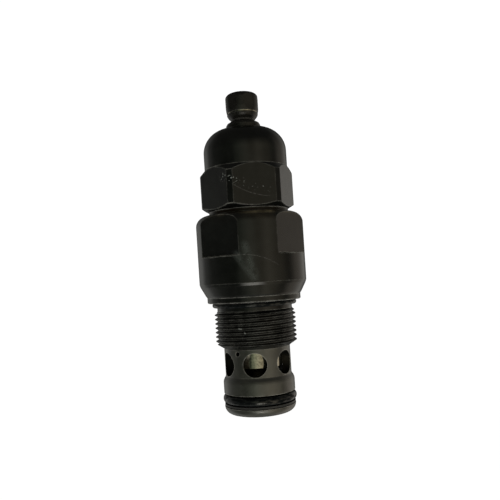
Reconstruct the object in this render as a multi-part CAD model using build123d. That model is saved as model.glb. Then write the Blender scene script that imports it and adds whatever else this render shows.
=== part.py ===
from build123d import *
import math
import os

# Adjustable two-stage relief cartridge valve. Millimetres, +Z along the valve axis towards the
# adjuster, origin on the axis in the plane of the collar's underside (the cavity seat face).
# Azimuths are in degrees from -Y, positive towards +X.

RUN = 0.03  # radial running clearance of sliding parts
SIT = 0.02  # radial clearance of parts that stay put in a bore
PAST = 1.0  # how far a cutting tool reaches past the face it opens
EDGE = 0.25  # break of handled edges

# Cavity thread M28x1.5, its undercut and the collar above it
THREAD_R = 13.93
THREAD_PITCH = 1.5
THREAD_DEPTH = 0.92
THREAD_ROOT_FLAT = 0.22
THREAD_HALF_ANGLE = 30.0
THREAD_CUT_FROM = -15.0
THREAD_CUT_LENGTH = 13.0
THREAD_START = -91.2  # turn of the groove about Z, in degrees
THREAD_LEAD_IN = 1.05
THREAD_CHAMFER_TOP = -13.95
UNDERCUT_R = 12.88
UNDERCUT_BOTTOM = -2.9
BODY_BOTTOM = -15.6
RECESS_R = 14.62
RECESS_DEPTH = 0.3
COLLAR_R = 16.05
COLLAR_H = 1.9

# Body
BODY_R = 18.42
CONE_FOOT = (16.5, 2.55)
CONE_HEAD = (18.12, 5.6)
CONE_TOP = 6.5
BODY_TOP = 29.7
BODY_SHOULDER_R = 3.6
FLAT_APOTHEM = 16.7
FLAT_BOTTOM = 15.6
FLAT_AZIMUTH = 53.0
FLAT_COUNT = 4
SLEEVE_BORE_R = 10.7
SLEEVE_BORE_TOP = -2.0
SPRING_BORE_R = 8.0
BONNET_BORE_R = 12.05
BONNET_BORE_BOTTOM = 11.0
DRAIN_R = 0.8
DRAIN_PITCH_R = 9.7
DRAIN_AZIMUTHS = (24.5, 144.5, 264.5)

# Sleeve
WAIST_R = 11.35
LAND_R = 12.27
NOSE_Z = -38.05
NOSE_EDGE_R = 2.7
GROOVE_BOTTOM = -35.3
GROOVE_TOP = -30.8
GROOVE_R = 9.42
LAND_TOP = -27.1
LAND_SHOULDER = ((12.17, -26.6), (11.97, -26.1), (11.7, -25.65), (11.47, -25.3))
WAIST_BOTTOM = -25.0
SLEEVE_TOP = -2.6
GUIDE_R = 8.52
INLET_R = 6.5
INLET_CHAMFER = 1.0
SEAT_Z = -25.0
PORT_R = 4.0
PORT_Z = -20.8
PORT_AZIMUTH = -5.5
PORT_COUNT = 6
SMALL_PORT_R = 0.8
SMALL_PORT_COUNT = 3
SMALL_PORT_AZIMUTH = -35.5
SMALL_PORT_Z = -17.0
STEM_DRAIN_R = 0.45
STEM_DRAIN_PITCH_R = 10.0

# Seals outside the valve
NOSE_RING_R = 1.6
NOSE_RING_OUTER_R = 12.65
NOSE_RING_Z = -32.75
BACK_UP_R = 12.2
BACK_UP_BOTTOM = -35.05
BACK_UP_T = 0.65
PORT_RING_R = 0.8
PORT_RING_OUTER_R = 14.5
PORT_RING_Z = -0.85

# Main poppet and the parts inside it
POPPET_R = GUIDE_R - RUN
POPPET_EDGE_Z = -22.2
POPPET_TOP = -7.0
POPPET_EDGE = 0.3
POPPET_BORE_R = 6.0
POPPET_FLOOR = -20.0
POPPET_NOSE_R = 5.0
POPPET_GROOVE = (-12.0, -9.6)
POPPET_GROOVE_R = 7.0
SEAT_GAP = 0.02
JET_R = 2.1
JET_BOTTOM = -26.8
JET_TOP = -22.0
JET_ORIFICE_R = 0.4
JET_SOCKET = (2.0, -25.0)
SCREEN_R = 4.0
SCREEN_DEPTH = 0.6
GLIDE_RING_R = 7.95
POPPET_O_RING = (7.93, 0.44)

# Springs: outside radius, wire radius, turns
MAIN_SPRING = (5.7, 0.75, 9)
PILOT_SPRING = (4.5, 0.85, 7)
SHIM_T = 0.6
SHIM_R = (7.0, 3.7)

# Pilot stage
PILOT_FLANGE_TOP = 15.0
PILOT_SPIGOT_BOTTOM = 7.0
PILOT_GROOVE = (8.2, 9.8)
PILOT_GROOVE_R = 6.7
PILOT_O_RING_R = 0.62
PILOT_POCKET_R = 3.0
PILOT_ORIFICE_R = 1.2
PILOT_SCREEN = (9.9, 10.6)
PILOT_CONE_R = 3.0
PILOT_TIP_R = 0.35
PILOT_HALF_ANGLE = 30.0
PILOT_FLANGE_R = 4.6
PILOT_FLANGE_BOTTOM = 19.5
PILOT_SPRING_BOTTOM = 21.0
PILOT_SPRING_TOP = 37.0
SPIGOT_R = 2.4
SPIGOT_H = 3.5
SPIGOT_CHAMFER = 0.5

# Bonnet
SHANK_R = 12.0
SHANK_CHAMFER = 0.4
BONNET_GROOVE = (25.0, 28.4)
BONNET_GROOVE_R = 10.3
BONNET_O_RING = (0.86, 25.95)
BONNET_BACK_UP = (27.0, 28.35)
BONNET_MOUTH = (10.5, 17.5)
HEX_AF = 28.7
HEX_CORNER_R = 16.0
HEX_AZIMUTH = 9.8
HEX_NECK_R = 13.6
HEX_NECK_TOP = 31.0
HEX_FOOT_TOP = 32.4
HEX_HEAD_BOTTOM = 43.4
HEX_TOP = 45.4
DOME_R = 14.25
DOME_TOP = 59.05
DOME_EDGE_R = 8.0
PISTON_BORE_R = 6.0
PISTON_BORE_BOTTOM = 17.0
PISTON_BORE_TOP = 52.0
SCREW_R = 3.0
SCREW_CLEARANCE = 0.06

# Piston that carries the pilot spring
PISTON_TOP = 45.0
PISTON_GROOVE = (40.0, 42.6)
PISTON_GROOVE_R = 4.9
PISTON_O_RING = (0.52, 40.6)
PISTON_BACK_UP = (41.3, 42.5)
BALL_R = 2.0
BALL_POCKET = 1.1

# Adjuster: screw, conical washer, lock nut, gasket and cap nut
SCREW_TOP = 69.0
SCREW_CHAMFER = 0.5
SCREW_SOCKET_AF = 3.0
SCREW_SOCKET_DEPTH = 3.0
WASHER_R = 5.9
WASHER_EDGE_Z = 60.5
WASHER_CONE = (5.5, 61.15)
WASHER_NECK = (4.1, 62.0)
WASHER_BORE_R = 3.2
WASHER_POCKET = (4.4, 1.3)
WASHER_TOP = 62.4
THREAD_O_RING = (4.32, 0.6)
NUT_BOTTOM = 62.42
NUT_UNDERSIDE = ((4.1, 62.42), (4.9, 63.3), (5.25, 63.9), (5.35, 64.4))
NUT_TOP = 64.4
GASKET_R = (5.2, 3.1)
GASKET_BOTTOM = 64.62
GASKET_TOP = 64.92
CAP_BOTTOM = 64.94
CAP_TOP = 71.45
CAP_FOOT_R = 5.4
CAP_FOOT_TOP = 66.4
CROWN_R = 1.9
HEAD_AF = 10.95
HEAD_R = 5.72
HEAD_AZIMUTH = 25.0


def direction(azimuth):
    """Unit vector in the XY plane at an azimuth from -Y."""
    a = math.radians(azimuth)
    return Vector(math.sin(a), -math.cos(a), 0)


def turned(points):
    """Solid of revolution about Z from (radius, height) points, closed back to the first."""
    face = make_face(Polyline(*[(r, 0, z) for r, z in points], close=True))
    return revolve(face, Axis.Z)


def turned_with_round(points, r, top, edge_r):
    """Solid of revolution whose last corner, at a radius and top height, is rounded to a flat top."""
    half = edge_r * math.sqrt(0.5)
    middle = (r - edge_r + half, 0, top - edge_r + half)
    outline = [
        Polyline((0, 0, top), *[(x, 0, z) for x, z in points], (r, 0, top - edge_r)),
        ThreePointArc((r, 0, top - edge_r), middle, (r - edge_r, 0, top)),
        Line((r - edge_r, 0, top), (0, 0, top)),
    ]
    return revolve(make_face(outline), Axis.Z)


def disc(r, z0, z1):
    """Plain cylinder on the axis between two heights."""
    return Pos(0, 0, z0) * Cylinder(r, z1 - z0, align=(Align.CENTER, Align.CENTER, Align.MIN))


def ring(outer, inner, z0, z1):
    """Flat ring on the axis between two heights."""
    return turned([(inner, z0), (outer, z0), (outer, z1), (inner, z1)])


def o_ring(outer, wire, z):
    """Round-section seal ring with the given outside radius."""
    return Pos(0, 0, z) * Torus(outer - wire, wire)


def drilled(r, azimuth, pitch_r, z0, z1):
    """Axial hole at a pitch radius and azimuth."""
    place = direction(azimuth) * pitch_r
    return Pos(place.X, place.Y, 0) * disc(r, z0, z1)


def cross_drilled(r, azimuth, z, depth_from, depth_to):
    """Radial hole at a height, between two distances from the axis."""
    out = direction(azimuth)
    plane = Plane(origin=out * depth_from + Vector(0, 0, z), z_dir=out)
    return plane * Cylinder(r, depth_to - depth_from, align=(Align.CENTER, Align.CENTER, Align.MIN))


def hexagon(across_flats, azimuth, z0, z1):
    """Hexagonal prism with one flat facing an azimuth."""
    turn = azimuth - 90
    shape = RegularPolygon(across_flats / 2, 6, major_radius=False, rotation=30 + turn)
    return Pos(0, 0, z0) * extrude(shape, z1 - z0)


def spring(outer, wire, turns, z0, z1):
    """Compression spring standing between two heights: closed ends, open coils between."""
    mean = outer - wire
    low = z0 + wire
    high = z1 - wire
    path = Helix((high - low) / turns, high - low, mean, center=(0, 0, low))
    section = Plane(path @ 0, z_dir=path % 0) * Circle(wire)
    coil = sweep(section, path, is_frenet=True)
    return coil + o_ring(outer, wire, low) + o_ring(outer, wire, high)


def perforated(screen, hole_r, z0, z1, rows):
    """Screen with rings of small holes; each row is a pitch radius and a count."""
    for pitch_r, count in rows:
        for k in range(count):
            screen -= drilled(hole_r, 360 / count * k, pitch_r, z0 - PAST, z1 + PAST)
    return screen


def side_edges(shape, above=-math.inf):
    """Edges of the upright plane faces of a shape, above a height."""
    edges = ShapeList()
    for face in shape.faces().filter_by(GeomType.PLANE):
        if abs(face.normal_at().Z) < 0.5:
            edges += [edge for edge in face.edges() if edge.center().Z > above and edge not in edges]
    return edges


def thread_groove():
    """Helical V groove of the cavity thread, running out in the undercut."""
    root = THREAD_R - THREAD_DEPTH
    reach = THREAD_R + EDGE
    half_root = THREAD_ROOT_FLAT / 2
    half_mouth = half_root + (reach - root) * math.tan(math.radians(THREAD_HALF_ANGLE))
    section = make_face(Polyline(
        (root, 0, -half_root), (root, 0, half_root), (reach, 0, half_mouth), (reach, 0, -half_mouth),
        close=True,
    ))
    path = Helix(THREAD_PITCH, THREAD_CUT_LENGTH, root)
    return Pos(0, 0, THREAD_CUT_FROM) * Rot(0, 0, THREAD_START) * sweep(section, path=path, is_frenet=True)


def valve_body():
    """Body with threaded foot, collar, cone, four wrench flats and stepped bore."""
    outline = [
        (0, BODY_BOTTOM),
        (WAIST_R, BODY_BOTTOM),
        (THREAD_R, THREAD_CHAMFER_TOP),
        (THREAD_R, UNDERCUT_BOTTOM - THREAD_LEAD_IN),
        (UNDERCUT_R, UNDERCUT_BOTTOM),
        (UNDERCUT_R, RECESS_DEPTH),
        (RECESS_R, RECESS_DEPTH),
        (RECESS_R, 0),
        (COLLAR_R - EDGE, 0),
        (COLLAR_R, EDGE),
        (COLLAR_R, COLLAR_H),
        CONE_FOOT,
        CONE_HEAD,
        (BODY_R, CONE_TOP),
    ]
    solid = turned_with_round(outline, BODY_R, BODY_TOP, BODY_SHOULDER_R)
    for k in range(FLAT_COUNT):
        out = direction(FLAT_AZIMUTH + 360 / FLAT_COUNT * k)
        plane = Plane(origin=out * FLAT_APOTHEM + Vector(0, 0, FLAT_BOTTOM), x_dir=(0, 0, 1), z_dir=out)
        solid -= plane * Box(2 * BODY_R, 2 * BODY_R, BODY_R, align=(Align.MIN, Align.CENTER, Align.MIN))
    ledge = solid.edges().filter_by(GeomType.CIRCLE).filter_by_position(Axis.Z, FLAT_BOTTOM, FLAT_BOTTOM)
    solid = fillet(side_edges(solid, FLAT_BOTTOM + EDGE) + ledge, EDGE)
    solid -= thread_groove()
    solid -= disc(SLEEVE_BORE_R, BODY_BOTTOM - PAST, SLEEVE_BORE_TOP)
    solid -= disc(SPRING_BORE_R, SLEEVE_BORE_TOP - PAST, BONNET_BORE_BOTTOM + PAST)
    solid -= disc(BONNET_BORE_R, BONNET_BORE_BOTTOM, BODY_TOP + PAST)
    for azimuth in DRAIN_AZIMUTHS:
        solid -= drilled(DRAIN_R, azimuth, DRAIN_PITCH_R, SLEEVE_BORE_TOP - PAST, BONNET_BORE_BOTTOM + PAST)
    return solid


def sleeve():
    """Ported sleeve: stem in the body, waist with radial ports, land, seal groove and seat."""
    stem_r = SLEEVE_BORE_R - SIT
    shell = turned([
        (INLET_R, NOSE_Z + INLET_CHAMFER),
        (INLET_R + INLET_CHAMFER, NOSE_Z),
        (LAND_R, NOSE_Z),
        (LAND_R, GROOVE_BOTTOM),
        (GROOVE_R, GROOVE_BOTTOM),
        (GROOVE_R, GROOVE_TOP),
        (LAND_R, GROOVE_TOP),
        (LAND_R, LAND_TOP),
        *LAND_SHOULDER,
        (WAIST_R, WAIST_BOTTOM),
        (WAIST_R, BODY_BOTTOM - SIT),
        (stem_r, BODY_BOTTOM - SIT),
        (stem_r, SLEEVE_TOP),
        (GUIDE_R, SLEEVE_TOP),
        (GUIDE_R, SEAT_Z),
        (INLET_R, SEAT_Z),
    ])
    nose_edges = shell.edges().filter_by_position(Axis.Z, NOSE_Z, NOSE_Z)
    shell = fillet(nose_edges.sort_by(SortBy.RADIUS)[-1], NOSE_EDGE_R)
    for k in range(PORT_COUNT):
        azimuth = PORT_AZIMUTH + 360 / PORT_COUNT * k
        shell -= cross_drilled(PORT_R, azimuth, PORT_Z, INLET_R - PAST, LAND_R + PAST)
    for k in range(SMALL_PORT_COUNT):
        azimuth = SMALL_PORT_AZIMUTH + 360 / SMALL_PORT_COUNT * k
        shell -= cross_drilled(SMALL_PORT_R, azimuth, SMALL_PORT_Z, INLET_R - PAST, LAND_R + PAST)
        shell -= drilled(STEM_DRAIN_R, azimuth, STEM_DRAIN_PITCH_R, SMALL_PORT_Z, SLEEVE_TOP + PAST)
    return shell


def port_seal_ring():
    """Seal ring in the recess under the collar."""
    return o_ring(PORT_RING_OUTER_R, PORT_RING_R, PORT_RING_Z)


def nose_o_ring():
    """Round seal ring in the nose groove, proud of the land."""
    return o_ring(NOSE_RING_OUTER_R, NOSE_RING_R, NOSE_RING_Z)


def nose_back_up_ring():
    """Back-up ring at the bottom of the nose groove."""
    return ring(BACK_UP_R, GROOVE_R + SIT, BACK_UP_BOTTOM, BACK_UP_BOTTOM + BACK_UP_T)


def main_poppet():
    """Hollow poppet: guide cylinder, seating cone, spring pocket and orifice thread."""
    seat_r = INLET_R - SEAT_GAP
    slope = (POPPET_R - seat_r) / (POPPET_EDGE_Z - SEAT_Z)
    nose_z = SEAT_Z - (seat_r - POPPET_NOSE_R) / slope
    shape = turned([
        (0, nose_z),
        (POPPET_NOSE_R, nose_z),
        (POPPET_R, POPPET_EDGE_Z),
        (POPPET_R, POPPET_GROOVE[0]),
        (POPPET_GROOVE_R, POPPET_GROOVE[0]),
        (POPPET_GROOVE_R, POPPET_GROOVE[1]),
        (POPPET_R, POPPET_GROOVE[1]),
        (POPPET_R, POPPET_TOP - POPPET_EDGE),
        (POPPET_R - POPPET_EDGE, POPPET_TOP),
        (0, POPPET_TOP),
    ])
    shape -= disc(POPPET_BORE_R, POPPET_FLOOR, POPPET_TOP + PAST)
    shape -= disc(SCREEN_R, POPPET_FLOOR - SCREEN_DEPTH, POPPET_FLOOR + PAST)
    shape -= disc(JET_R, nose_z - PAST, POPPET_FLOOR)
    return shape


def poppet_seal_ring():
    """Glide ring in the poppet's groove."""
    low, high = POPPET_GROOVE
    return ring(GUIDE_R - SIT, GLIDE_RING_R, low + SIT, high - SIT)


def poppet_o_ring():
    """Energising ring under the glide ring."""
    outer, wire = POPPET_O_RING
    return o_ring(outer, wire, sum(POPPET_GROOVE) / 2)


def orifice_plug():
    """Threaded jet in the poppet's nose, with a hexagon socket and a control orifice."""
    across_flats, socket_top = JET_SOCKET
    plug = disc(JET_R - SIT, JET_BOTTOM, JET_TOP)
    plug -= disc(JET_ORIFICE_R, JET_BOTTOM - PAST, JET_TOP + PAST)
    plug -= hexagon(across_flats, 0, JET_BOTTOM - PAST, socket_top)
    return plug


def orifice_filter():
    """Perforated screen above the jet."""
    low = POPPET_FLOOR - SCREEN_DEPTH + SIT
    high = POPPET_FLOOR - SIT
    screen = disc(SCREEN_R - RUN, low, high)
    return perforated(screen, 0.3, low, high, ((0.0, 1), (1.3, 6), (2.6, 12)))


def main_spring():
    """Light spring that closes the main poppet."""
    return spring(*MAIN_SPRING, POPPET_FLOOR + SIT, PILOT_SPIGOT_BOTTOM - SHIM_T - SIT)


def spring_shim():
    """Preload shim between the main spring and the pilot seat."""
    outer, inner = SHIM_R
    return ring(outer, inner, PILOT_SPIGOT_BOTTOM - SHIM_T, PILOT_SPIGOT_BOTTOM - SIT / 2)


def pilot_seat():
    """Stepped plug with the pilot orifice, a seal groove and three drain holes."""
    spigot_r = SPRING_BORE_R - SIT
    flange_r = BONNET_BORE_R - 5 * SIT
    groove_low, groove_high = PILOT_GROOVE
    seat = turned([
        (PILOT_POCKET_R, PILOT_SPIGOT_BOTTOM),
        (spigot_r, PILOT_SPIGOT_BOTTOM),
        (spigot_r, groove_low),
        (PILOT_GROOVE_R, groove_low),
        (PILOT_GROOVE_R, groove_high),
        (spigot_r, groove_high),
        (spigot_r, BONNET_BORE_BOTTOM),
        (flange_r, BONNET_BORE_BOTTOM),
        (flange_r, PILOT_FLANGE_TOP),
        (PILOT_ORIFICE_R, PILOT_FLANGE_TOP),
        (PILOT_ORIFICE_R, BONNET_BORE_BOTTOM),
        (PILOT_POCKET_R, BONNET_BORE_BOTTOM),
    ])
    for azimuth in DRAIN_AZIMUTHS:
        seat -= drilled(DRAIN_R, azimuth, DRAIN_PITCH_R, BONNET_BORE_BOTTOM - PAST, PILOT_FLANGE_TOP + PAST)
    return seat


def pilot_seat_o_ring():
    """Seal ring on the pilot seat's spigot."""
    return o_ring(SPRING_BORE_R - SIT, PILOT_O_RING_R, sum(PILOT_GROOVE) / 2)


def pilot_filter():
    """Fine screen below the pilot orifice."""
    low, high = PILOT_SCREEN
    return perforated(disc(PILOT_POCKET_R - RUN, low, high), 0.22, low, high, ((0.0, 1), (1.0, 6), (2.0, 12)))


def pilot_poppet():
    """Pilot cone with a spring flange and spigot."""
    slope = math.tan(math.radians(PILOT_HALF_ANGLE))
    tip_z = PILOT_FLANGE_TOP - (PILOT_ORIFICE_R - SEAT_GAP - PILOT_TIP_R) / slope
    shoulder_z = tip_z + (PILOT_CONE_R - PILOT_TIP_R) / slope
    flange_top = PILOT_SPRING_BOTTOM - SIT / 2
    return turned([
        (0, tip_z),
        (PILOT_TIP_R, tip_z),
        (PILOT_CONE_R, shoulder_z),
        (PILOT_CONE_R, PILOT_FLANGE_BOTTOM),
        (PILOT_FLANGE_R, PILOT_FLANGE_BOTTOM),
        (PILOT_FLANGE_R, flange_top),
        (SPIGOT_R, flange_top),
        (SPIGOT_R, flange_top + SPIGOT_H - SPIGOT_CHAMFER),
        (SPIGOT_R - SPIGOT_CHAMFER, flange_top + SPIGOT_H),
        (0, flange_top + SPIGOT_H),
    ])


def pilot_spring():
    """Stiff spring that sets the relief pressure."""
    return spring(*PILOT_SPRING, PILOT_SPRING_BOTTOM, PILOT_SPRING_TOP)


def bonnet():
    """Bonnet: shank in the body, hexagon with turned chamfers, dome and stepped bore."""
    foot = PILOT_FLANGE_TOP + SIT
    groove_low, groove_high = BONNET_GROOVE
    outline = [
        (0, foot),
        (SHANK_R - SHANK_CHAMFER, foot),
        (SHANK_R, foot + SHANK_CHAMFER),
        (SHANK_R, groove_low),
        (BONNET_GROOVE_R, groove_low),
        (BONNET_GROOVE_R, groove_high),
        (SHANK_R, groove_high),
        (SHANK_R, BODY_TOP + SIT),
        (HEX_NECK_R, BODY_TOP + SIT),
        (HEX_NECK_R, HEX_NECK_TOP),
        (HEX_CORNER_R, HEX_FOOT_TOP),
        (HEX_CORNER_R, HEX_HEAD_BOTTOM),
        (DOME_R, HEX_TOP),
    ]
    blank = turned_with_round(outline, DOME_R, DOME_TOP, DOME_EDGE_R)
    shape = blank & hexagon(HEX_AF, HEX_AZIMUTH, foot - PAST, DOME_TOP + PAST)
    shape = fillet(side_edges(shape), EDGE)
    mouth_r, mouth_top = BONNET_MOUTH
    shape -= disc(mouth_r, foot - PAST, mouth_top)
    shape -= disc(PISTON_BORE_R, PISTON_BORE_BOTTOM, PISTON_BORE_TOP)
    shape -= disc(SCREW_R + SCREW_CLEARANCE, PISTON_BORE_TOP - PAST, DOME_TOP + PAST)
    return shape


def bonnet_o_ring():
    """Seal ring between bonnet and body."""
    wire, z = BONNET_O_RING
    return o_ring(BONNET_BORE_R - SIT, wire, z)


def bonnet_back_up_ring():
    """Back-up ring beside the bonnet's seal ring."""
    return ring(SHANK_R, BONNET_GROOVE_R + SIT, *BONNET_BACK_UP)


def spring_seat():
    """Piston that carries the pilot spring, sealed in the bonnet's bore."""
    r = PISTON_BORE_R - RUN
    foot = PILOT_SPRING_TOP + SIT / 2
    groove_low, groove_high = PISTON_GROOVE
    seat = turned([
        (0, foot - SPIGOT_H),
        (SPIGOT_R - SPIGOT_CHAMFER, foot - SPIGOT_H),
        (SPIGOT_R, foot - SPIGOT_H + SPIGOT_CHAMFER),
        (SPIGOT_R, foot),
        (r, foot),
        (r, groove_low),
        (PISTON_GROOVE_R, groove_low),
        (PISTON_GROOVE_R, groove_high),
        (r, groove_high),
        (r, PISTON_TOP),
        (0, PISTON_TOP),
    ])
    return seat - disc(BALL_R + RUN, PISTON_TOP - BALL_POCKET, PISTON_TOP + PAST)


def spring_seat_o_ring():
    """Seal ring on the piston."""
    wire, z = PISTON_O_RING
    return o_ring(PISTON_BORE_R - SIT, wire, z)


def spring_seat_back_up_ring():
    """Back-up ring beside the piston's seal ring."""
    return ring(PISTON_BORE_R - RUN, PISTON_GROOVE_R + SIT, *PISTON_BACK_UP)


def thrust_ball():
    """Ball between the piston and the adjusting screw."""
    return Pos(0, 0, PISTON_TOP - BALL_POCKET + BALL_R + SIT / 2) * Sphere(BALL_R)


def adjusting_screw():
    """Set screw with a hexagon socket in its top end."""
    low = PISTON_TOP - BALL_POCKET + 2 * BALL_R + SIT
    screw = turned([
        (0, low),
        (SCREW_R - SCREW_CHAMFER, low),
        (SCREW_R, low + SCREW_CHAMFER),
        (SCREW_R, SCREW_TOP - SCREW_CHAMFER),
        (SCREW_R - SCREW_CHAMFER, SCREW_TOP),
        (0, SCREW_TOP),
    ])
    return screw - hexagon(SCREW_SOCKET_AF, HEAD_AZIMUTH, SCREW_TOP - SCREW_SOCKET_DEPTH, SCREW_TOP + PAST)


def seal_washer():
    """Conical washer on the dome with a pocket for the thread seal."""
    foot = DOME_TOP + SIT / 2
    pocket_r, pocket_h = WASHER_POCKET
    washer = turned([
        (WASHER_BORE_R, foot),
        (WASHER_R, foot),
        (WASHER_R, WASHER_EDGE_Z),
        WASHER_CONE,
        WASHER_NECK,
        (WASHER_NECK[0], WASHER_TOP),
        (WASHER_BORE_R, WASHER_TOP),
    ])
    return washer - disc(pocket_r, DOME_TOP - PAST, DOME_TOP + pocket_h)


def thread_o_ring():
    """Seal ring around the adjusting screw, inside the conical washer."""
    outer, wire = THREAD_O_RING
    return o_ring(outer, wire, DOME_TOP + wire + RUN)


def lock_nut():
    """Thin nut with a turned, rounded underside."""
    nut = turned([(0, NUT_BOTTOM), *NUT_UNDERSIDE, (0, NUT_TOP)])
    nut &= hexagon(HEAD_AF, HEAD_AZIMUTH, NUT_BOTTOM - PAST, NUT_TOP + PAST)
    return nut - disc(SCREW_R + SCREW_CLEARANCE, NUT_BOTTOM - PAST, NUT_TOP + PAST)


def cap_gasket():
    """Thin flat gasket between lock nut and cap nut."""
    return ring(*GASKET_R, GASKET_BOTTOM, GASKET_TOP)


def cap_nut():
    """Closed nut over the end of the adjusting screw, with a rounded crown."""
    outline = [(0, CAP_BOTTOM), (CAP_FOOT_R, CAP_BOTTOM), (HEAD_R, CAP_FOOT_TOP)]
    blank = turned_with_round(outline, HEAD_R, CAP_TOP, CROWN_R)
    cap = blank & hexagon(HEAD_AF, HEAD_AZIMUTH, CAP_BOTTOM - PAST, CAP_TOP + PAST)
    cap = fillet(side_edges(cap), EDGE)
    return cap - disc(SCREW_R + SCREW_CLEARANCE, CAP_BOTTOM - PAST, SCREW_TOP + SCREW_CHAMFER)


SUB_PARTS = (
    valve_body,
    sleeve,
    port_seal_ring,
    nose_o_ring,
    nose_back_up_ring,
    main_poppet,
    poppet_seal_ring,
    poppet_o_ring,
    orifice_plug,
    orifice_filter,
    main_spring,
    spring_shim,
    pilot_seat,
    pilot_seat_o_ring,
    pilot_filter,
    pilot_poppet,
    pilot_spring,
    bonnet,
    bonnet_o_ring,
    bonnet_back_up_ring,
    spring_seat,
    spring_seat_o_ring,
    spring_seat_back_up_ring,
    thrust_ball,
    adjusting_screw,
    seal_washer,
    thread_o_ring,
    lock_nut,
    cap_gasket,
    cap_nut,
)

os.makedirs("parts", exist_ok=True)
for make in SUB_PARTS:
    export_step(make(), f"parts/{make.__name__}.step")
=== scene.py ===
import math

import bmesh
import bpy
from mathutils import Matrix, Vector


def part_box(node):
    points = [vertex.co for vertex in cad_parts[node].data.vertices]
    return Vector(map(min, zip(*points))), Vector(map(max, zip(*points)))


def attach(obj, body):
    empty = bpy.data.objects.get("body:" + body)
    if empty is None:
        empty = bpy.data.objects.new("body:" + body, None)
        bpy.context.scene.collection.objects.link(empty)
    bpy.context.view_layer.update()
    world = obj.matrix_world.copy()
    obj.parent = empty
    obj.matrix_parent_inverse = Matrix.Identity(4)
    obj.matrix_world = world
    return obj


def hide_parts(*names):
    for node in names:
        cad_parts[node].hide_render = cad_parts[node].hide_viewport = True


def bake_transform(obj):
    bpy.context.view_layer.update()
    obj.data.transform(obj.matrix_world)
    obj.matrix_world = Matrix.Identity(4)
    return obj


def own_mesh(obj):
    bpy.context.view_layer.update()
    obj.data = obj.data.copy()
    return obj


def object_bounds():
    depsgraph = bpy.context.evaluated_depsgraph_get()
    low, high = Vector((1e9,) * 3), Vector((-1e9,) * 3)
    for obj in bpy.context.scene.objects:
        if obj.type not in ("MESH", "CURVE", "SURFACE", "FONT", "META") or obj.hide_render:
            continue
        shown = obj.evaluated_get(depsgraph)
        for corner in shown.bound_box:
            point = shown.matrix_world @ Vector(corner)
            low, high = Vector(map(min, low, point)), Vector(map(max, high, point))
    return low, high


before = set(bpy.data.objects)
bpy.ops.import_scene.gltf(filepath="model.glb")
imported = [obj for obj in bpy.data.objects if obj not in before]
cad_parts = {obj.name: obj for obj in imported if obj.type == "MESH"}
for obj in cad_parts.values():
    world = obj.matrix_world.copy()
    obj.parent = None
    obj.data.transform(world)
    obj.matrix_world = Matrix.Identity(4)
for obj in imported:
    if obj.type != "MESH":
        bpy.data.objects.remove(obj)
cad_low, cad_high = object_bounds()

MM = 0.001

# Camera: level, square to the valve axis, a hand's length away; angles in degrees
CAMERA_DISTANCE = 207.5 * MM
CAMERA_HEIGHT = 7.9 * MM
FRAME_WIDTH = 172.95 * MM
CAMERA_ROLL = 3.62
LEVEL = 90
CLIP_START = 0.01
CLIP_END = 20.0
SENSOR = 36.0
SHIFT_X = -0.0055
SHIFT_Y = 0.056

# Floor and backdrop: white paper that glows a little, so that the valve throws hardly any shadow
FLOOR_SIZE = 6.0
FLOOR_DROP = 0.2 * MM
FLOOR_GLOW = 0.98
FLOOR_TINTS = ((0.86, 0.86, 0.86), (0.92, 0.92, 0.92))
FLOOR_NOISE = (0.02, 3.0, 0.55)
FLOOR_ROUGH = 0.9
BACKDROP = 1.05

# Light round the horizon by azimuth, in degrees from -Y towards +X: azimuth, red, green, blue
HORIZON = (
    (-180, 0.04, 0.04, 0.038),
    (-164, 0.10, 0.10, 0.095),
    (-148, 0.30, 0.30, 0.285),
    (-134, 0.40, 0.40, 0.38),
    (-114, 0.17, 0.17, 0.16),
    (-92, 0.05, 0.052, 0.047),
    (-60, 0.017, 0.021, 0.016),
    (-36, 0.025, 0.031, 0.022),
    (-22, 0.12, 0.135, 0.098),
    (-12, 0.20, 0.21, 0.155),
    (0, 0.27, 0.265, 0.20),
    (18, 0.22, 0.20, 0.145),
    (36, 0.35, 0.315, 0.235),
    (60, 0.21, 0.185, 0.135),
    (84, 0.080, 0.070, 0.055),
    (108, 0.34, 0.30, 0.25),
    (140, 0.50, 0.475, 0.43),
    (156, 0.18, 0.175, 0.165),
    (168, 0.06, 0.058, 0.055),
    (180, 0.04, 0.04, 0.038),
)

# Light from above and below, and the heights (-1 straight down, 1 straight up) that each fades in over
OVERHEAD = {"light": (0.035, 0.035, 0.032, 1.0), "fade": (0.02, 0.75)}
UNDERNEATH = {"light": (0.17, 0.17, 0.155, 1.0), "fade": (-0.80, -0.97)}

# Bright patch below the horizon, mirrored by the nose: full within the first value from its middle, gone
# by the second, in degrees sideways (reach) and in height upwards and downwards (rise)
TABLE_GLINT = {
    "azimuth": 0, "reach": (6, 32), "height": -0.60, "rise": (0.02, 0.10), "strength": 2.4,
    "light": (1.0, 0.97, 0.90, 1.0),
}
WHITE = (1.0, 1.0, 1.0, 1.0)

# Springs: the CAD spring each replaces, its wire's radius and its turns; the pilot spring is in two
# halves. The middle of an end turn's wire is COIL_GROUND of a wire radius from the ground end
MAIN_SPRING = {"node": "main_spring", "wire": 0.75 * MM, "turns": 11}
PILOT_SPRING = {"node": "pilot_spring", "wire": 0.85 * MM, "turns": 8}
PILOT_MIDDLE_TURN = 4
COIL_GROUND = 0.45
COIL_STEPS = 48
COIL_SIDES = 14

# Heights on the valve, in millimetres; a pair is where one look gives way to another
THREAD_MIDDLE = -9.3
THREAD_HALF = 6.35
THREAD_FADE = 0.1
HOLES_ABOVE = -28.0
BODY_TO_HEX = (28.0, 29.0)
SHOULDER_BELOW = 29.8
NECK_ABOVE = 29.71
NECK_FADE = (30.6, 31.0)

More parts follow.
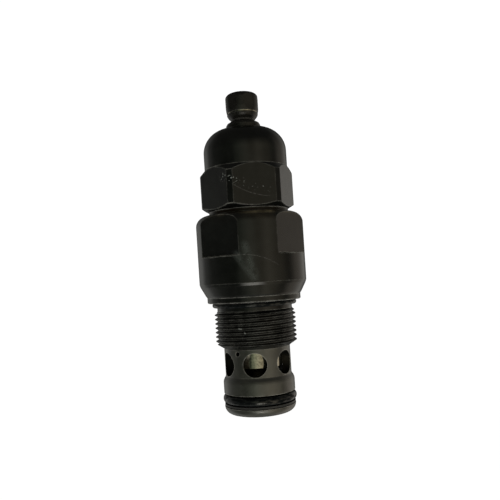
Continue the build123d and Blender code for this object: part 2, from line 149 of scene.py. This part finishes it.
# Noise: scale per millimetre, detail and roughness; a pattern also has the span of values that counts
MOTTLE = {"noise": (0.35, 5.0, 0.6), "span": (0.3, 0.7)}
GLOSS = {"noise": (0.5, 5.0, 0.65), "span": (0.3, 0.7)}
VEIL = {"noise": (0.11, 4.0, 0.6), "span": (0.42, 0.68)}
EDGE_WEAR_AND_HIGHLIGHT = {"noise": (0.35, 3.0, 0.6), "span": (0.38, 0.60)}
SCRATCH_GAPS = {"noise": (1.1, 3.0, 0.7), "span": (0.40, 0.60)}
SMEAR_PATCHES = {"noise": (0.45, 3.0, 0.55), "span": (0.34, 0.52)}
SHOULDER_PATCHES = {"noise": (0.3, 3.0, 0.55), "span": (0.35, 0.6)}
METAL_TINT = {"noise": (1.2, 4.0, 0.6), "span": (0.35, 0.6)}
METAL_GLOSS = {"noise": (1.2, 4.0, 0.6), "span": (0.3, 0.7)}
POLYMER_GLOSS = {"noise": (0.8, 4.0, 0.6), "span": (0.3, 0.7)}
POLYMER_FILM = {"noise": (0.7, 3.0, 0.6), "span": (0.45, 0.62)}
FILM_STRETCH = (0.5, 0.5, 1.6)
LATHE_WOBBLE = (0.15, 2.0, 0.55)
LATHE_RINGS = (1.0, 2.0, 0.7)
STEEL_GRAIN = (2.2, 3.0, 0.5)
POLYMER_SKIN = (2.5, 3.0, 0.6)
CHIP_SPECKS = (1.4, 2.0, 0.5)

# Fine relief: depths in metres and the pitch of a bare metal's tool lines in millimetres
GRAIN_DEPTH = 0.02 * MM
STEEL_LINE_DEPTH = 0.04 * MM
METAL_LINE_DEPTH = 0.03 * MM
METAL_LINE_PITCH = 0.25
SKIN_DEPTH = 0.05 * MM

# Reflection level of a dry surface
SPECULAR = 0.5

# Edges: softening radius, samples of the two bevels, likeness of normals where edge wear and painted
# highlight start and are full
SOFT_EDGE = 0.12 * MM
SOFT_SAMPLES = 6
WEAR_AND_HIGHLIGHT_SAMPLES = 8
WEAR_AND_HIGHLIGHT_LIKENESS = (0.998, 0.95)
WEAR_AND_HIGHLIGHT_LEAST = 0.25
THREAD_WEAR_AND_HIGHLIGHT = 0.35

# Share of the base colour or roughness at the dark and the light end of each finish
STEEL_TINTS = (0.6, 1.5)
METAL_TINTS = (0.55, 1.13)
METAL_ROUGHS = (0.7, 1.3)
POLYMER_TINTS = (0.7, 1.4)
POLYMER_ROUGHS = (0.6, 1.5)

# Painted shade, darker and less reflective, on the walls of the sleeve's cross holes and in the neck;
# grey veil on the body
HOLE_SHADE = {"tint": (0.006, 0.006, 0.005), "specular": 0.08, "fade": (-0.1, 0.05)}
NECK_SHADE = {"tint": (0.012, 0.008, 0.004), "specular": 0.12}
VEIL_TINT = (0.020, 0.023, 0.018)

# Painted warm reflection (brown) and painted highlight (cream) on the body's shoulder: the heights each
# colour comes in over and its fullest share; at either side of the front, two values of x and the share
# of the tint at each
BROWN_REFLECTION = {"tint": (0.060, 0.048, 0.028), "rise": (26.0, 29.0), "most": 0.7}
CREAM_HIGHLIGHT = {"tint": (0.26, 0.215, 0.13), "rise": (28.3, 29.1), "most": 1.0}
SHOULDER_LEFT = (-4.0, 3.0, 0.1, 1.0)
SHOULDER_RIGHT = (7.0, 9.0, 1.0, 0.15)
SHOULDER_LEAST = 0.35

# Marks on the front of the steel, in millimetres: x and z on the valve. A width is a core and its soft
# rim, most and least are shares of the tint, and thinning is two values of x and the specks lost at each
HEX_SCRATCH = {
    "centre": (8.9, 56.9), "radius": 22.8, "from_x": -4.8, "to_x": 7.6, "width": (0.06, 0.12),
}
BODY_SCRATCH = {
    "centre": (-3.2, -4.0), "radius": 19.5, "from_x": -5.6, "to_x": 8.4, "width": (0.07, 0.15),
}
SCRATCH = {"tint": (0.09, 0.088, 0.08), "most": 0.7, "least": 0.1}
SMEARS = (((-4.6, 15.6), (0.9, 7.6)), ((-1.9, 18.4), (0.7, 8.4)))
SMEAR = {
    "tint": (0.036, 0.041, 0.035), "most": 0.9, "least": 0.1, "width": (0.3, 1.5), "dulling": 0.15,
}
CHIPS = {
    "start": (-7.6, 41.2), "end": (6.4, 36.2), "tint": (0.20, 0.21, 0.19), "width": (0.6, 1.0),
    "thinning": (-8.0, 1.0, -0.05, 0.03), "span": (0.62, 0.67),
}
THREAD_NICKS = (((-5.7, -8.2), (-4.8, -8.5)), ((-3.8, -9.6), (-3.6, -9.9)))
NICK_WIDTH = (0.16, 0.12)

# Finishes. Roughness varies by the spread; lines and grain are bump strengths; pitch,
# wear_and_highlight_width and hole_shade_within (the distance from the axis within which hole walls get
# painted shade) are in millimetres;
# wear_and_highlight_tint is the colour of edge wear and painted edge highlight
BLACK_OXIDE = {
    "base": (0.0048, 0.0050, 0.0042), "ior": 1.66, "rough": 0.15, "spread": 0.05, "lines": 0.03,
    "line_pitch": 0.3, "wear_and_highlight_tint": (0.24, 0.235, 0.205), "wear_and_highlight_width": 0.55, "grain": 0.05, "veil": 0.12,
    "hole_shade_within": None, "marks": True,
}
PHOSPHATE = {
    "base": (0.024, 0.024, 0.018), "ior": 2.6, "rough": 0.32, "spread": 0.05, "lines": 0.35,
    "line_pitch": 0.22, "wear_and_highlight_tint": (0.30, 0.29, 0.24), "wear_and_highlight_width": 0.3, "grain": 0.12, "veil": 0.0,
    "hole_shade_within": 11.2, "marks": False,
}
DARK_STEEL = {
    "base": (0.0075, 0.0070, 0.0055), "ior": 1.62, "rough": 0.28, "spread": 0.06, "lines": 0.12,
    "line_pitch": 0.3, "wear_and_highlight_tint": (0.10, 0.095, 0.085), "wear_and_highlight_width": 0.25, "grain": 0.12, "veil": 0.0,
    "hole_shade_within": None, "marks": False,
}
BRIGHT_STEEL = {"base": (0.88, 0.84, 0.70), "rough": 0.13, "lines": 0.15}
SPRING_STEEL = {"base": (0.38, 0.37, 0.35), "rough": 0.35, "lines": 0.1}
JET_BRASS = {"base": (0.78, 0.58, 0.28), "rough": 0.3, "lines": 0.2}
RUBBER = {"base": (0.005, 0.006, 0.006), "rough": 0.10, "ior": 1.55, "skin": 0.7, "wet": 0.85}
SEAL_PLASTIC = {"base": (0.03, 0.03, 0.027), "rough": 0.4, "ior": 1.5, "skin": 0.4, "wet": 0.1}


def make_camera():
    """The camera looks along +Y at the valve, rolled so that the valve leans left."""
    data = bpy.data.cameras.new("camera")
    data.sensor_width = SENSOR
    data.lens = SENSOR * CAMERA_DISTANCE / FRAME_WIDTH
    data.shift_x = SHIFT_X
    data.shift_y = SHIFT_Y
    data.clip_start = CLIP_START
    data.clip_end = CLIP_END
    data.dof.use_dof = False
    camera = bpy.data.objects.new("camera", data)
    bpy.context.scene.collection.objects.link(camera)
    camera.location = (0, -CAMERA_DISTANCE, CAMERA_HEIGHT)
    camera.rotation_euler = (math.radians(LEVEL), math.radians(CAMERA_ROLL), 0)
    bpy.context.scene.camera = camera


# ---------------------------------------------------------------- node helpers

def fill(tree, socket, value):
    """Links a socket into an input, or sets its value."""
    if isinstance(value, bpy.types.NodeSocket):
        tree.links.new(value, socket)
    else:
        socket.default_value = value


def put(tree, kind, inputs=None, **settings):
    """A new node with its settings; inputs are values or sockets to link from."""
    node = tree.nodes.new(kind)
    for key, value in settings.items():
        setattr(node, key, value)
    for key, value in (inputs or {}).items():
        fill(tree, node.inputs[key], value)
    return node


def fresh_material(name):
    """An empty node material with its output, and its Principled shader linked to it."""
    material = bpy.data.materials.new(name)
    material.use_nodes = True
    tree = material.node_tree
    tree.nodes.clear()
    out = put(tree, "ShaderNodeOutputMaterial")
    shader = put(tree, "ShaderNodeBsdfPrincipled")
    tree.links.new(shader.outputs["BSDF"], out.inputs["Surface"])
    return material, tree, shader


def millimetres(tree):
    """Object coordinates in millimetres."""
    coords = put(tree, "ShaderNodeTexCoord")
    scaled = put(tree, "ShaderNodeVectorMath", {
        0: coords.outputs["Object"], "Scale": 1 / MM}, operation="SCALE")
    return scaled.outputs["Vector"]


def noise(tree, where, scale, detail, rough):
    node = put(tree, "ShaderNodeTexNoise", {
        "Vector": where, "Scale": scale, "Detail": detail, "Roughness": rough})
    return node.outputs["Fac"]


def stretched(tree, where, factors):
    """Coordinates scaled by a factor along each axis."""
    node = put(tree, "ShaderNodeVectorMath", {0: where, 1: factors}, operation="MULTIPLY")
    return node.outputs["Vector"]


def remap(tree, value, low, high, to_low, to_high):
    """The value carried from one range to another, and held inside it."""
    node = put(tree, "ShaderNodeMapRange", {
        "Value": value, "From Min": low, "From Max": high, "To Min": to_low, "To Max": to_high})
    return node.outputs["Result"]


def patches(tree, where, pattern, low, high):
    """A noise pattern over the surface, from low to high across its span."""
    return remap(tree, noise(tree, where, *pattern["noise"]), *pattern["span"], low, high)


def maths(tree, operation, first, second=0.0, third=0.0, clamp=False):
    node = put(tree, "ShaderNodeMath", {0: first, 1: second, 2: third}, operation=operation,
               use_clamp=clamp)
    return node.outputs["Value"]


def times(tree, *factors):
    result = factors[0]
    for factor in factors[1:]:
        result = maths(tree, "MULTIPLY", result, factor)
    return result


def blend(tree, factor, first, second):
    """A colour between two colours."""
    node = put(tree, "ShaderNodeMix", {0: factor, 6: first, 7: second}, data_type="RGBA")
    return node.outputs[2]


def colour(rgb, factor=1.0):
    return tuple(min(1.0, c * factor) for c in rgb) + (1.0,)


def axes_of(tree, where):
    return put(tree, "ShaderNodeSeparateXYZ", {"Vector": where}).outputs


def length_of(tree, first, second):
    """Length of a vector with two components."""
    flat = put(tree, "ShaderNodeCombineXYZ", {"X": first, "Y": second}).outputs["Vector"]
    return put(tree, "ShaderNodeVectorMath", {0: flat}, operation="LENGTH").outputs["Value"]


# ---------------------------------------------------------------- surface patterns

def lathe_lines(tree, where, pitch):
    """Fine rings round the valve axis, as a turning tool leaves them."""
    wobble = noise(tree, where, *LATHE_WOBBLE)
    height = maths(tree, "MULTIPLY_ADD", axes_of(tree, where)["Z"], 1.0 / pitch, wobble)
    only_z = put(tree, "ShaderNodeCombineXYZ", {"Z": height})
    return noise(tree, only_z.outputs["Vector"], *LATHE_RINGS)


def edge_wear_and_highlight(tree, where, width):
    """Edge wear and painted highlight: brighter where two faces meet, a little broken up by noise and
    weaker on the thread.
    """
    rounded = put(tree, "ShaderNodeBevel", {"Radius": width * MM}, samples=WEAR_AND_HIGHLIGHT_SAMPLES)
    flat = put(tree, "ShaderNodeNewGeometry")
    likeness = put(tree, "ShaderNodeVectorMath", {
        0: rounded.outputs["Normal"], 1: flat.outputs["True Normal"]}, operation="DOT_PRODUCT")
    edge = remap(tree, likeness.outputs["Value"], *WEAR_AND_HIGHLIGHT_LIKENESS, 0.0, 1.0)
    worn_and_highlit = patches(tree, where, EDGE_WEAR_AND_HIGHLIGHT, WEAR_AND_HIGHLIGHT_LEAST, 1.0)
    off_middle = maths(tree, "SUBTRACT", axes_of(tree, where)["Z"], THREAD_MIDDLE)
    from_middle = maths(tree, "ABSOLUTE", off_middle)
    spared = remap(tree, from_middle, THREAD_HALF, THREAD_HALF + THREAD_FADE, THREAD_WEAR_AND_HIGHLIGHT, 1.0)
    return times(tree, edge, worn_and_highlit, spared)


def hole_shade_mask(tree, where, radius):
    """1 on the walls of the cross holes, closer to the axis than the radius, where shade is painted."""
    axes = axes_of(tree, where)
    inner, outer = (radius + offset for offset in HOLE_SHADE["fade"])
    near_axis = remap(tree, length_of(tree, axes["X"], axes["Y"]), inner, outer, 1.0, 0.0)
    return times(tree, near_axis, maths(tree, "GREATER_THAN", axes["Z"], HOLES_ABOVE))


def on_front(tree, axes):
    return maths(tree, "LESS_THAN", axes["Y"], 0.0)


def near_line(tree, axes, start, end, core, soft):
    """1 within a distance of a straight line across the front, fading to 0."""
    run, rise = end[0] - start[0], end[1] - start[1]
    length2 = run * run + rise * rise
    along_x = maths(tree, "MULTIPLY", maths(tree, "SUBTRACT", axes["X"], start[0]), run / length2)
    along_z = maths(tree, "MULTIPLY", maths(tree, "SUBTRACT", axes["Z"], start[1]), rise / length2)
    along = maths(tree, "ADD", along_x, along_z, clamp=True)
    off_x = maths(tree, "SUBTRACT", axes["X"], maths(tree, "MULTIPLY_ADD", along, run, start[0]))
    off_z = maths(tree, "SUBTRACT", axes["Z"], maths(tree, "MULTIPLY_ADD", along, rise, start[1]))
    distance = length_of(tree, off_x, off_z)
    return times(tree, remap(tree, distance, core, core + soft, 1.0, 0.0), on_front(tree, axes))


def near_arc(tree, axes, mark):
    """1 on a thin arc across the front, fading to 0 beside it."""
    off_x = maths(tree, "SUBTRACT", axes["X"], mark["centre"][0])
    off_z = maths(tree, "SUBTRACT", axes["Z"], mark["centre"][1])
    beside = maths(tree, "SUBTRACT", length_of(tree, off_x, off_z), mark["radius"])
    inside = times(
        tree,
        maths(tree, "GREATER_THAN", axes["X"], mark["from_x"]),
        maths(tree, "LESS_THAN", axes["X"], mark["to_x"]),
        on_front(tree, axes),
    )
    core, soft = mark["width"]
    on_arc = remap(tree, maths(tree, "ABSOLUTE", beside), core, core + soft, 1.0, 0.0)
    return times(tree, on_arc, inside)


def scratch_mask(tree, where, axes):
    """A broken arc on the hexagon's front and one on the body's."""
    upper = remap(tree, axes["Z"], *BODY_TO_HEX, 0.0, 1.0)
    lower = remap(tree, axes["Z"], *BODY_TO_HEX, 1.0, 0.0)
    on_hex = times(tree, near_arc(tree, axes, HEX_SCRATCH), upper)
    on_body = times(tree, near_arc(tree, axes, BODY_SCRATCH), lower)
    broken = patches(tree, where, SCRATCH_GAPS, SCRATCH["least"], 1.0)
    return times(tree, maths(tree, "MAXIMUM", on_hex, on_body), broken)


def smear_mask(tree, where, axes):
    """Two patchy arms on the body's front that meet at their lower ends."""
    left_arm, right_arm = (near_line(tree, axes, start, end, *SMEAR["width"]) for start, end in SMEARS)
    patchy = patches(tree, where, SMEAR_PATCHES, SMEAR["least"], 1.0)
    return times(tree, maths(tree, "MAXIMUM", left_arm, right_arm), patchy)


def chip_mask(tree, where, axes):
    """Specks that thin out along a line on the hexagon, and nicks on the thread."""
    thinning = remap(tree, axes["X"], *CHIPS["thinning"])
    grains = maths(tree, "SUBTRACT", noise(tree, where, *CHIP_SPECKS), thinning)
    specks = remap(tree, grains, *CHIPS["span"], 0.0, 1.0)
    chips = times(tree, near_line(tree, axes, CHIPS["start"], CHIPS["end"], *CHIPS["width"]), specks)
    for start, end in THREAD_NICKS:
        chips = maths(tree, "MAXIMUM", chips, near_line(tree, axes, start, end, *NICK_WIDTH))
    return chips


def painted_shoulder_light(tree, where, axes, tint):
    """The tint with a painted brown reflection and then a painted cream highlight on the body's
    shoulder, strongest right of its middle.
    """
    shoulder = maths(tree, "LESS_THAN", axes["Z"], SHOULDER_BELOW)
    left, right = (remap(tree, axes["X"], *side) for side in (SHOULDER_LEFT, SHOULDER_RIGHT))
    across = times(tree, left, right)
    patchy = patches(tree, where, SHOULDER_PATCHES, SHOULDER_LEAST, 1.0)
    for painted_layer in (BROWN_REFLECTION, CREAM_HIGHLIGHT):
        rise = remap(tree, axes["Z"], *painted_layer["rise"], 0.0, painted_layer["most"])
        tint = blend(tree, times(tree, rise, shoulder, across, patchy), tint, colour(painted_layer["tint"]))
    return tint


def marked(tree, shader, where, tint, gloss):
    """Tint and roughness with the shoulder's painted reflection and highlight, the marks and painted
    shade in the neck; the neck reflects less.
    """
    axes = axes_of(tree, where)
    # Painted warm reflection and painted highlight on the shoulder
    tint = painted_shoulder_light(tree, where, axes, tint)
    smear = smear_mask(tree, where, axes)
    scratch = scratch_mask(tree, where, axes)
    tint = blend(tree, times(tree, smear, SMEAR["most"]), tint, colour(SMEAR["tint"]))
    tint = blend(tree, times(tree, scratch, SCRATCH["most"]), tint, colour(SCRATCH["tint"]))
    tint = blend(tree, chip_mask(tree, where, axes), tint, colour(CHIPS["tint"]))
    gloss = maths(tree, "MULTIPLY_ADD", smear, SMEAR["dulling"], gloss)
    # Painted shade in the neck between the body and the hexagon: darker and less reflective
    above = maths(tree, "GREATER_THAN", axes["Z"], NECK_ABOVE)
    neck = times(tree, above, remap(tree, axes["Z"], *NECK_FADE, 1.0, 0.0))
    tint = blend(tree, neck, tint, colour(NECK_SHADE["tint"]))
    reflection = remap(tree, neck, 0.0, 1.0, SPECULAR, NECK_SHADE["specular"])
    fill(tree, shader.inputs["Specular IOR Level"], reflection)
    return tint, gloss


# ---------------------------------------------------------------- materials

def steel_relief(tree, shader, where, lines, line_pitch, grain):
    """Softened edges, a fine grain and tool lines."""
    soft_edges = put(tree, "ShaderNodeBevel", {"Radius": SOFT_EDGE}, samples=SOFT_SAMPLES)
    skin = put(tree, "ShaderNodeBump", {
        "Height": noise(tree, where, *STEEL_GRAIN), "Strength": grain, "Distance": GRAIN_DEPTH,
        "Normal": soft_edges.outputs["Normal"]})
    turned = put(tree, "ShaderNodeBump", {
        "Height": lathe_lines(tree, where, line_pitch), "Strength": lines,
        "Distance": STEEL_LINE_DEPTH, "Normal": skin.outputs["Normal"]})
    tree.links.new(turned.outputs["Normal"], shader.inputs["Normal"])


def blackened_steel(name, base, ior, rough, spread, lines, line_pitch, wear_and_highlight_tint, wear_and_highlight_width, grain, veil,
                    hole_shade_within, marks):
    """Blackened steel: mottled tint, uneven gloss, tool lines, a fine grain, and worn edges with a
    painted highlight.
    """
    material, tree, shader = fresh_material(name)
    where = millimetres(tree)
    dark, light = (colour(base, share) for share in STEEL_TINTS)
    tint = blend(tree, patches(tree, where, MOTTLE, 0.0, 1.0), dark, light)
    gloss = patches(tree, where, GLOSS, rough - spread, rough + spread)
    if marks:
        tint, gloss = marked(tree, shader, where, tint, gloss)
    tint = blend(tree, patches(tree, where, VEIL, 0.0, veil), tint, colour(VEIL_TINT))
    # Edge wear and painted highlight: a lighter colour along the edges
    tint = blend(tree, edge_wear_and_highlight(tree, where, wear_and_highlight_width), tint, colour(wear_and_highlight_tint))
    # Painted shade in the cross holes: darker, less reflective walls
    if hole_shade_within:
        inside = hole_shade_mask(tree, where, hole_shade_within)
        tint = blend(tree, inside, tint, colour(HOLE_SHADE["tint"]))
        reflection = remap(tree, inside, 0.0, 1.0, SPECULAR, HOLE_SHADE["specular"])
        fill(tree, shader.inputs["Specular IOR Level"], reflection)
    tree.links.new(tint, shader.inputs["Base Color"])
    tree.links.new(gloss, shader.inputs["Roughness"])
    steel_relief(tree, shader, where, lines, line_pitch, grain)
    shader.inputs["IOR"].default_value = ior
    return material


def bright_metal(name, base, rough, lines):
    """Machined bare metal."""
    material, tree, shader = fresh_material(name)
    where = millimetres(tree)
    dark, light = (colour(base, share) for share in METAL_TINTS)
    smooth, dull = (rough * share for share in METAL_ROUGHS)
    tint = blend(tree, patches(tree, where, METAL_TINT, 0.0, 1.0), dark, light)
    tree.links.new(tint, shader.inputs["Base Color"])
    tree.links.new(patches(tree, where, METAL_GLOSS, smooth, dull), shader.inputs["Roughness"])
    bump = put(tree, "ShaderNodeBump", {
        "Height": lathe_lines(tree, where, METAL_LINE_PITCH), "Strength": lines,
        "Distance": METAL_LINE_DEPTH})
    tree.links.new(bump.outputs["Normal"], shader.inputs["Normal"])
    shader.inputs["Metallic"].default_value = 1.0
    return material


def polymer(name, base, rough, ior, skin, wet):
    """Rubber or filled plastic: slightly uneven in tint and gloss, with a fine skin and an oil film."""
    material, tree, shader = fresh_material(name)
    where = millimetres(tree)
    dark, light = (colour(base, share) for share in POLYMER_TINTS)
    smooth, dull = (rough * share for share in POLYMER_ROUGHS)
    tint = blend(tree, noise(tree, where, *POLYMER_GLOSS["noise"]), dark, light)
    tree.links.new(tint, shader.inputs["Base Color"])
    tree.links.new(patches(tree, where, POLYMER_GLOSS, smooth, dull), shader.inputs["Roughness"])
    bump = put(tree, "ShaderNodeBump", {
        "Height": noise(tree, where, *POLYMER_SKIN), "Strength": skin, "Distance": SKIN_DEPTH})
    tree.links.new(bump.outputs["Normal"], shader.inputs["Normal"])
    films = patches(tree, stretched(tree, where, FILM_STRETCH), POLYMER_FILM,
                    SPECULAR - wet / 2, SPECULAR + wet)
    tree.links.new(films, shader.inputs["Specular IOR Level"])
    shader.inputs["IOR"].default_value = ior
    return material


def dress(node, material):
    """Gives a CAD node its material."""
    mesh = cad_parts[node].data
    mesh.materials.clear()
    mesh.materials.append(material)


# ---------------------------------------------------------------- springs

def coil_height(share, turns, end_pitch, height):
    """Height along a spring's wire: one closed turn at each end, an even rise between."""
    turn = share * turns
    open_pitch = (height - 2 * end_pitch) / (turns - 2)
    closed_low = min(turn, 1.0) * end_pitch
    closed_high = max(turn - turns + 1, 0.0) * end_pitch
    return closed_low + closed_high + min(max(turn - 1, 0.0), turns - 2) * open_pitch


def wire_ring(mesh, mean, wire, angle, height, low_z, high_z):
    """Corners round the wire at one place on the coil, cut off flat at the spring's two ends."""
    ring = []
    for k in range(COIL_SIDES):
        around = 2 * math.pi * k / COIL_SIDES
        r = mean + wire * math.cos(around)
        z = min(max(height + wire * math.sin(around), low_z), high_z)
        ring.append(mesh.verts.new((r * math.cos(angle), r * math.sin(angle), z)))
    return ring


def coil_mesh(name, node, wire, turns, first_turn, last_turn):
    """Closed mesh of a coil's wire from one turn to another, in the room of a CAD spring."""
    low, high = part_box(node)
    mean = high.x - wire
    rise = high.z - low.z - 2 * COIL_GROUND * wire
    mesh = bmesh.new()
    rings = []
    for step in range(first_turn * COIL_STEPS, last_turn * COIL_STEPS + 1):
        share = step / (turns * COIL_STEPS)
        height = low.z + COIL_GROUND * wire + coil_height(share, turns, 2 * wire, rise)
        rings.append(wire_ring(mesh, mean, wire, 2 * math.pi * turns * share, height, low.z, high.z))
    for first, second in zip(rings, rings[1:]):
        for k in range(COIL_SIDES):
            following = (k + 1) % COIL_SIDES
            mesh.faces.new((first[k], second[k], second[following], first[following]))
    mesh.faces.new(rings[0])
    mesh.faces.new(list(reversed(rings[-1])))
    bmesh.ops.recalc_face_normals(mesh, faces=mesh.faces)
    for face in mesh.faces:
        face.smooth = len(face.verts) == 4
    data = bpy.data.meshes.new(name)
    mesh.to_mesh(data)
    mesh.free()
    return data


def coil_spring(name, node, wire, turns, first_turn, last_turn):
    """Part of a compression spring with closed and ground end turns, in place of a CAD spring."""
    data = coil_mesh(name, node, wire, turns, first_turn, last_turn)
    data.materials.append(spring_steel)
    spring = bpy.data.objects.new(name, data)
    bpy.context.scene.collection.objects.link(spring)
    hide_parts(node)
    return spring


def shorten(spring):
    """The spring goes with the housing and gets a mesh of its own."""
    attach(spring, "housing")
    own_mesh(spring)


def make_springs():
    """The main spring and the pilot spring's lower half go with the housing; the upper half keeps its
    place, baked into its mesh.
    """
    whole = coil_spring("main_spring_coil", **MAIN_SPRING, first_turn=0, last_turn=MAIN_SPRING["turns"])
    shorten(whole)
    lower = coil_spring("pilot_spring_lower", **PILOT_SPRING, first_turn=0, last_turn=PILOT_MIDDLE_TURN)
    shorten(lower)
    upper = coil_spring("pilot_spring_upper", **PILOT_SPRING, first_turn=PILOT_MIDDLE_TURN,
                        last_turn=PILOT_SPRING["turns"])
    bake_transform(upper)


# ---------------------------------------------------------------- studio

def make_floor():
    """White floor under the nose."""
    bpy.ops.mesh.primitive_plane_add(size=FLOOR_SIZE, location=(0, 0, cad_low.z - FLOOR_DROP))
    floor = bpy.context.object
    floor.name = "floor"
    material, tree, shader = fresh_material("floor_paper")
    where = millimetres(tree)
    dark, light = (colour(tint) for tint in FLOOR_TINTS)
    tint = blend(tree, noise(tree, where, *FLOOR_NOISE), dark, light)
    tree.links.new(tint, shader.inputs["Base Color"])
    shader.inputs["Roughness"].default_value = FLOOR_ROUGH
    shader.inputs["Emission Color"].default_value = WHITE
    shader.inputs["Emission Strength"].default_value = FLOOR_GLOW
    floor.data.materials.append(material)
    floor.visible_glossy = False


def table_glint(tree, axes, azimuth):
    """Strength of the bright patch that the table reflects up at the nose."""
    off_azimuth = maths(tree, "SUBTRACT", azimuth, math.radians(TABLE_GLINT["azimuth"]))
    off_height = maths(tree, "SUBTRACT", axes["Z"], TABLE_GLINT["height"])
    near, far = (math.radians(angle) for angle in TABLE_GLINT["reach"])
    across = remap(tree, maths(tree, "ABSOLUTE", off_azimuth), near, far, 1.0, 0.0)
    upwards = remap(tree, maths(tree, "ABSOLUTE", off_height), *TABLE_GLINT["rise"], 1.0, 0.0)
    return times(tree, across, upwards, TABLE_GLINT["strength"])


def make_surround():
    """Soft light from all round: white backdrop, dim sides and a wide soft front."""
    world = bpy.data.worlds.new("studio")
    bpy.context.scene.world = world
    world.use_nodes = True
    tree = world.node_tree
    tree.nodes.clear()
    out = put(tree, "ShaderNodeOutputWorld")
    coords = put(tree, "ShaderNodeTexCoord")
    axes = axes_of(tree, coords.outputs["Generated"])
    azimuth = maths(tree, "ARCTAN2", axes["X"], maths(tree, "MULTIPLY", axes["Y"], -1.0))
    ramp = put(tree, "ShaderNodeValToRGB", {"Fac": remap(tree, azimuth, -math.pi, math.pi, 0.0, 1.0)})
    stops = ramp.color_ramp
    stops.interpolation = "EASE"
    for angle, *rgb in HORIZON[1:-1]:
        stops.elements.new((angle + 180) / 360).color = colour(rgb)
    stops.elements[0].color = colour(HORIZON[0][1:])
    stops.elements[-1].color = colour(HORIZON[-1][1:])
    around = ramp.outputs["Color"]
    for end in (OVERHEAD, UNDERNEATH):
        around = blend(tree, remap(tree, axes["Z"], *end["fade"], 0.0, 1.0), around, end["light"])
    light = put(tree, "ShaderNodeBackground", {"Color": around, "Strength": 1.0})
    glare = put(tree, "ShaderNodeBackground", {
        "Color": TABLE_GLINT["light"], "Strength": table_glint(tree, axes, azimuth)})
    lit = put(tree, "ShaderNodeAddShader", {
        0: light.outputs["Background"], 1: glare.outputs["Background"]})
    paper = put(tree, "ShaderNodeBackground", {"Color": WHITE, "Strength": BACKDROP})
    seen = put(tree, "ShaderNodeLightPath")
    mixed = put(tree, "ShaderNodeMixShader", {
        0: seen.outputs["Is Camera Ray"], 1: lit.outputs["Shader"], 2: paper.outputs["Background"]})
    tree.links.new(mixed.outputs["Shader"], out.inputs["Surface"])
    bpy.context.scene.view_settings.view_transform = "Standard"


black_oxide = blackened_steel("black_oxide", **BLACK_OXIDE)
phosphate = blackened_steel("phosphate", **PHOSPHATE)
dark_steel = blackened_steel("dark_steel", **DARK_STEEL)
bright_steel = bright_metal("bright_steel", **BRIGHT_STEEL)
spring_steel = bright_metal("spring_steel", **SPRING_STEEL)
jet_brass = bright_metal("jet_brass", **JET_BRASS)
rubber = polymer("nitrile_rubber", **RUBBER)
seal_plastic = polymer("seal_plastic", **SEAL_PLASTIC)

DRESSING = {
    black_oxide: ("valve_body", "bonnet"),
    phosphate: ("sleeve",),
    dark_steel: ("cap_nut", "lock_nut", "seal_washer", "adjusting_screw", "spring_seat"),
    bright_steel: ("main_poppet", "orifice_filter", "spring_shim", "pilot_seat", "pilot_filter",
                   "pilot_poppet", "thrust_ball", "cap_gasket"),
    spring_steel: ("main_spring", "pilot_spring"),
    jet_brass: ("orifice_plug",),
    rubber: ("port_seal_ring", "nose_o_ring", "poppet_o_ring", "pilot_seat_o_ring", "bonnet_o_ring",
             "spring_seat_o_ring", "thread_o_ring"),
    seal_plastic: ("nose_back_up_ring", "poppet_seal_ring", "bonnet_back_up_ring",
                   "spring_seat_back_up_ring"),
}
for material, nodes in DRESSING.items():
    for node in nodes:
        dress(node, material)

make_springs()
make_camera()
make_floor()
make_surround()
